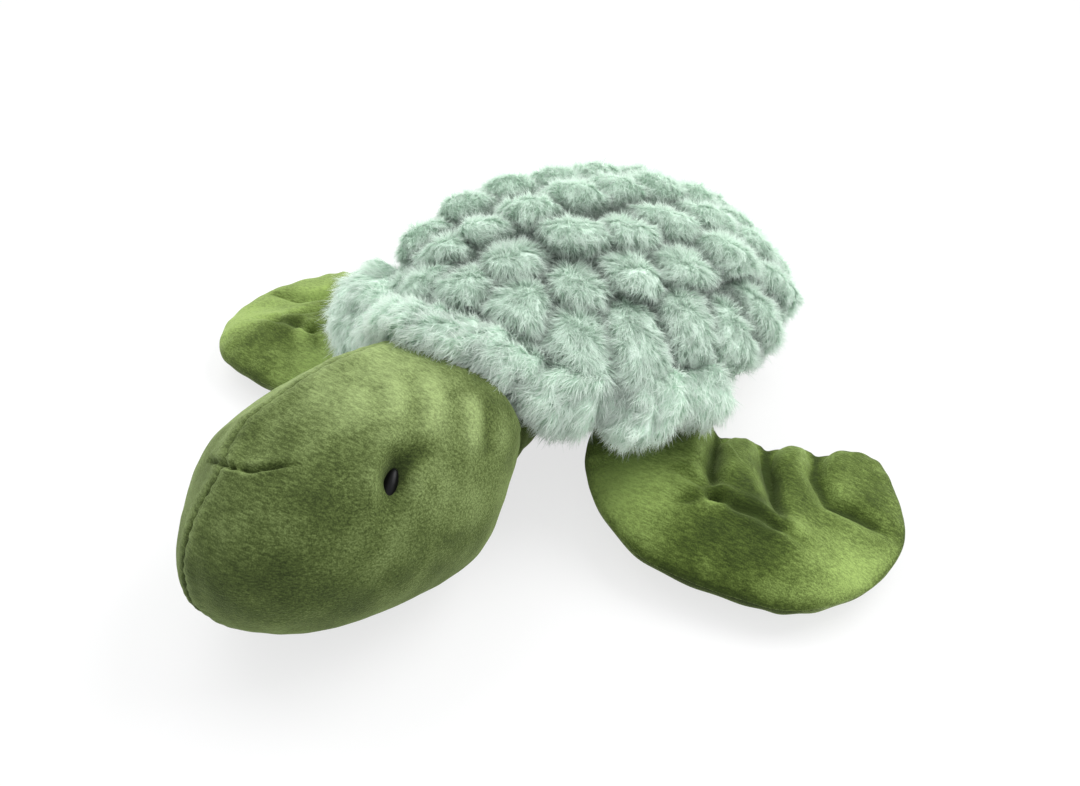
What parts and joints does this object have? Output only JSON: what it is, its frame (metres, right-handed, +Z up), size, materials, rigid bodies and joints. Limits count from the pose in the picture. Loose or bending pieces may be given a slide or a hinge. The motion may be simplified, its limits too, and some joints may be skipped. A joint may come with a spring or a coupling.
{
  "type": "plush turtle",
  "caption": "Stuffed toy sea turtle with a tufted fur shell, a fur brim, a soft head on a bending neck, paddle flippers and a small tail.",
  "frame": {"origin": "middle of the flat patch under the belly, on the surface that the toy lies on", "axes": "+Z up, -Y the way the toy faces, +X the toy's left side"},
  "size_m": [0.5461, 0.5778, 0.1591],
  "materials": {
    "olive_velboa": "short plush pile",
    "olive_velboa_under": "short plush pile",
    "mint_fur": "deep tufted fur pile",
    "mint_brim_fur": "long smooth fur pile",
    "white_stuffing": "loose fibre",
    "black_eye_plastic": "polished",
    "clear_washer_plastic": "moulded"
  },
  "bodies": {
    "root": {"belly_panel": "olive_velboa_under", "body_stuffing": "white_stuffing", "shell_brim": "mint_brim_fur", "shell_cover": "mint_fur"},
    "neck": {"neck_cover": "olive_velboa", "neck_stuffing": "white_stuffing"},
    "head": {"eye_left": "black_eye_plastic", "eye_right": "black_eye_plastic", "eye_washer_left": "clear_washer_plastic", "eye_washer_right": "clear_washer_plastic", "head_panel_left": "olive_velboa", "head_panel_right": "olive_velboa", "head_stuffing": "white_stuffing"},
    "front_flipper_left": {"front_flipper_left_bottom_panel": "olive_velboa_under", "front_flipper_left_stuffing": "white_stuffing", "front_flipper_left_top_panel": "olive_velboa"},
    "front_flipper_right": {"front_flipper_right_bottom_panel": "olive_velboa_under", "front_flipper_right_stuffing": "white_stuffing", "front_flipper_right_top_panel": "olive_velboa"},
    "rear_flipper_left": {"rear_flipper_left_bottom_panel": "olive_velboa_under", "rear_flipper_left_stuffing": "white_stuffing", "rear_flipper_left_top_panel": "olive_velboa"},
    "rear_flipper_right": {"rear_flipper_right_bottom_panel": "olive_velboa_under", "rear_flipper_right_stuffing": "white_stuffing", "rear_flipper_right_top_panel": "olive_velboa"},
    "tail": {"tail_bottom_panel": "olive_velboa_under", "tail_stuffing": "white_stuffing", "tail_top_panel": "olive_velboa"}
  },
  "joints": [
    {"name": "neck_turn", "type": "hinge", "parent": "root", "child": "neck", "pos_m": [0, -0.175, 0.068], "axis": [0, 0, 1], "range_deg": [-8, 8], "stiffness_Nm_per_rad": 2.5},
    {"name": "head_nod", "type": "hinge", "parent": "neck", "child": "head", "pos_m": [0, -0.175, 0.068], "axis": [-1, 0, 0], "range_deg": [-18, 3], "stiffness_Nm_per_rad": 2.5},
    {"name": "front_flipper_flap_left", "type": "hinge", "parent": "root", "child": "front_flipper_left", "pos_m": [0.09281, -0.07165, 0.028], "axis": [-0.5059, -0.8626, 0], "range_deg": [-30, 12], "stiffness_Nm_per_rad": 0.8},
    {"name": "front_flipper_flap_right", "type": "hinge", "parent": "root", "child": "front_flipper_right", "pos_m": [-0.09281, -0.07165, 0.028], "axis": [-0.5059, 0.8626, 0], "range_deg": [-30, 12], "stiffness_Nm_per_rad": 0.8},
    {"name": "rear_flipper_flap_left", "type": "hinge", "parent": "root", "child": "rear_flipper_left", "pos_m": [0.03967, 0.12088, 0.019], "axis": [0.8913, -0.4535, 0], "range_deg": [-25, 8], "stiffness_Nm_per_rad": 0.3},
    {"name": "rear_flipper_flap_right", "type": "hinge", "parent": "root", "child": "rear_flipper_right", "pos_m": [-0.03967, 0.12088, 0.019], "axis": [0.8913, 0.4535, 0], "range_deg": [-25, 8], "stiffness_Nm_per_rad": 0.3},
    {"name": "tail_lift", "type": "hinge", "parent": "root", "child": "tail", "pos_m": [0, 0.15033, 0.025], "axis": [1, 0, 0], "range_deg": [-20, 10], "stiffness_Nm_per_rad": 0.05}
  ]
}
